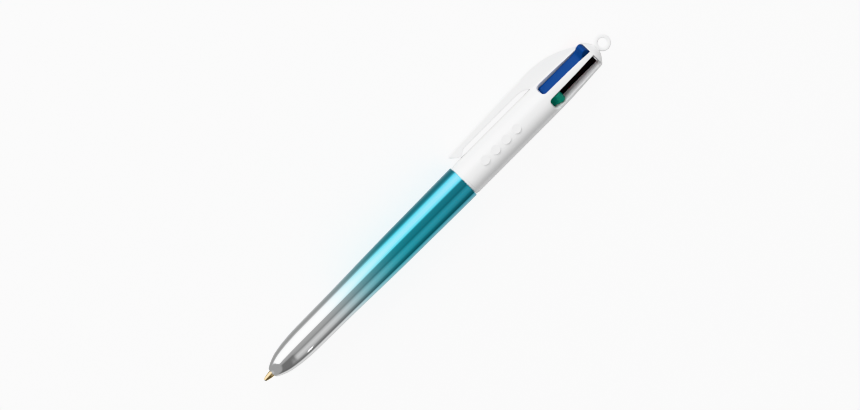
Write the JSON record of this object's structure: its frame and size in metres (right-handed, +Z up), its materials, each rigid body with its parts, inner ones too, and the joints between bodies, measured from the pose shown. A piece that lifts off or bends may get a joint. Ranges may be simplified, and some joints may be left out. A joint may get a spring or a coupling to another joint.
{
  "type": "multicolour click pen",
  "caption": "Retractable ballpoint pen with a tapered two-tone barrel, a white upper body with a pocket clip and thumb sliders, and a lanyard ring.",
  "frame": {"origin": "bottom centre of the pen's box, as it lies on its side", "axes": "+X along the pen from the writing tip to the lanyard ring, +Z up, the pocket clip on the +Y side pointing a little down"},
  "size_m": [0.146, 0.0156, 0.0119],
  "materials": {
    "barrel_metallised": "glossy metallised lacquer, silver at the nose through pale cyan to teal",
    "white_plastic": "polished moulded white plastic",
    "guide_plastic": "plain moulded plastic",
    "blue_plastic": "moulded blue plastic",
    "green_plastic": "moulded green plastic",
    "black_plastic": "moulded black plastic",
    "red_plastic": "moulded red plastic",
    "refill_tube": "milky extruded plastic tube",
    "refill_brass": "turned brass",
    "ball_steel": "polished hard ball",
    "spring_steel": "drawn spring wire",
    "blue_ink": "thick ink, a gel in the tube",
    "green_ink": "thick ink, a gel in the tube",
    "black_ink": "thick ink, a gel in the tube",
    "red_ink": "thick ink, a gel in the tube"
  },
  "bodies": {
    "pen_body": {"upper_body": "white_plastic", "tail_cap": "white_plastic", "spring_guide": "guide_plastic", "spring_blue": "spring_steel", "spring_green": "spring_steel", "spring_black": "spring_steel", "spring_red": "spring_steel"},
    "barrel": {"barrel": "barrel_metallised"},
    "clip": {"clip_arm": "white_plastic"},
    "slider_blue": {"slider_blue": "blue_plastic"},
    "refill_blue": {"refill_tube_blue": "refill_tube", "refill_tip_blue": "refill_brass", "tip_ball_blue": "ball_steel", "ink_blue": "blue_ink"},
    "slider_green": {"slider_green": "green_plastic"},
    "refill_green": {"refill_tube_green": "refill_tube", "refill_tip_green": "refill_brass", "tip_ball_green": "ball_steel", "ink_green": "green_ink"},
    "slider_black": {"slider_black": "black_plastic"},
    "refill_black": {"refill_tube_black": "refill_tube", "refill_tip_black": "refill_brass", "tip_ball_black": "ball_steel", "ink_black": "black_ink"},
    "slider_red": {"slider_red": "red_plastic"},
    "refill_red": {"refill_tube_red": "refill_tube", "refill_tip_red": "refill_brass", "tip_ball_red": "ball_steel", "ink_red": "red_ink"}
  },
  "joints": [
    {"name": "barrel_pull_off", "type": "slide", "parent": "pen_body", "child": "barrel", "axis": [-1, 0, 0], "range_m": [0, 0.09]},
    {"name": "clip_flex", "type": "hinge", "parent": "pen_body", "child": "clip", "pos_m": [0.04465, 0.0069, 0.00264], "axis": [0, -0.3826, -0.9239], "range_deg": [0, 4], "stiffness_Nm_per_rad": 1.2},
    {"name": "blue_slide", "type": "slide", "parent": "pen_body", "child": "slider_blue", "axis": [-1, 0, 0], "range_m": [0, 0.0147], "stiffness_N_per_m": 40, "springref_m": -0.008, "deforming": ["spring_blue", "refill_tube_blue", "refill_tip_blue", "tip_ball_blue", "ink_blue"]},
    {"name": "blue_refill_bend", "type": "hinge", "parent": "slider_blue", "child": "refill_blue", "pos_m": [0.03225, 0.00047, 0.00778], "axis": [0, -0.5374, 0.8433], "range_deg": [0, 1.78]},
    {"name": "green_slide", "type": "slide", "parent": "pen_body", "child": "slider_green", "axis": [-1, 0, 0], "range_m": [-0.0147, 0], "deforming": ["spring_green", "refill_tube_green", "refill_tip_green", "tip_ball_green", "ink_green"]},
    {"name": "green_refill_bend", "type": "hinge", "parent": "slider_green", "child": "refill_green", "pos_m": [0.01755, -0.0025, 0.00901], "axis": [0, -0.9763, -0.2166], "range_deg": [-1.78, 0]},
    {"name": "black_slide", "type": "slide", "parent": "pen_body", "child": "slider_black", "axis": [-1, 0, 0], "range_m": [0, 0.0147], "stiffness_N_per_m": 40, "springref_m": -0.008, "deforming": ["spring_black", "refill_tube_black", "refill_tip_black", "tip_ball_black", "ink_black"]},
    {"name": "black_refill_bend", "type": "hinge", "parent": "slider_black", "child": "refill_black", "pos_m": [0.03225, -0.00425, 0.00477], "axis": [0, 0.5374, -0.8433], "range_deg": [0, 1.78]},
    {"name": "red_slide", "type": "slide", "parent": "pen_body", "child": "slider_red", "axis": [-1, 0, 0], "range_m": [0, 0.0147], "stiffness_N_per_m": 40, "springref_m": -0.008, "deforming": ["spring_red", "refill_tube_red", "refill_tip_red", "tip_ball_red", "ink_red"]},
    {"name": "red_refill_bend", "type": "hinge", "parent": "slider_red", "child": "refill_red", "pos_m": [0.03225, -0.00128, 0.00354], "axis": [0, 0.9763, 0.2166], "range_deg": [0, 1.78]}
  ],
  "couplings": [
    {"joint": "blue_refill_bend", "follows": "blue_slide", "rad_per_m": 2.1017},
    {"joint": "green_refill_bend", "follows": "green_slide", "rad_per_m": 2.1017},
    {"joint": "black_refill_bend", "follows": "black_slide", "rad_per_m": 2.1017},
    {"joint": "red_refill_bend", "follows": "red_slide", "rad_per_m": 2.1017}
  ]
}
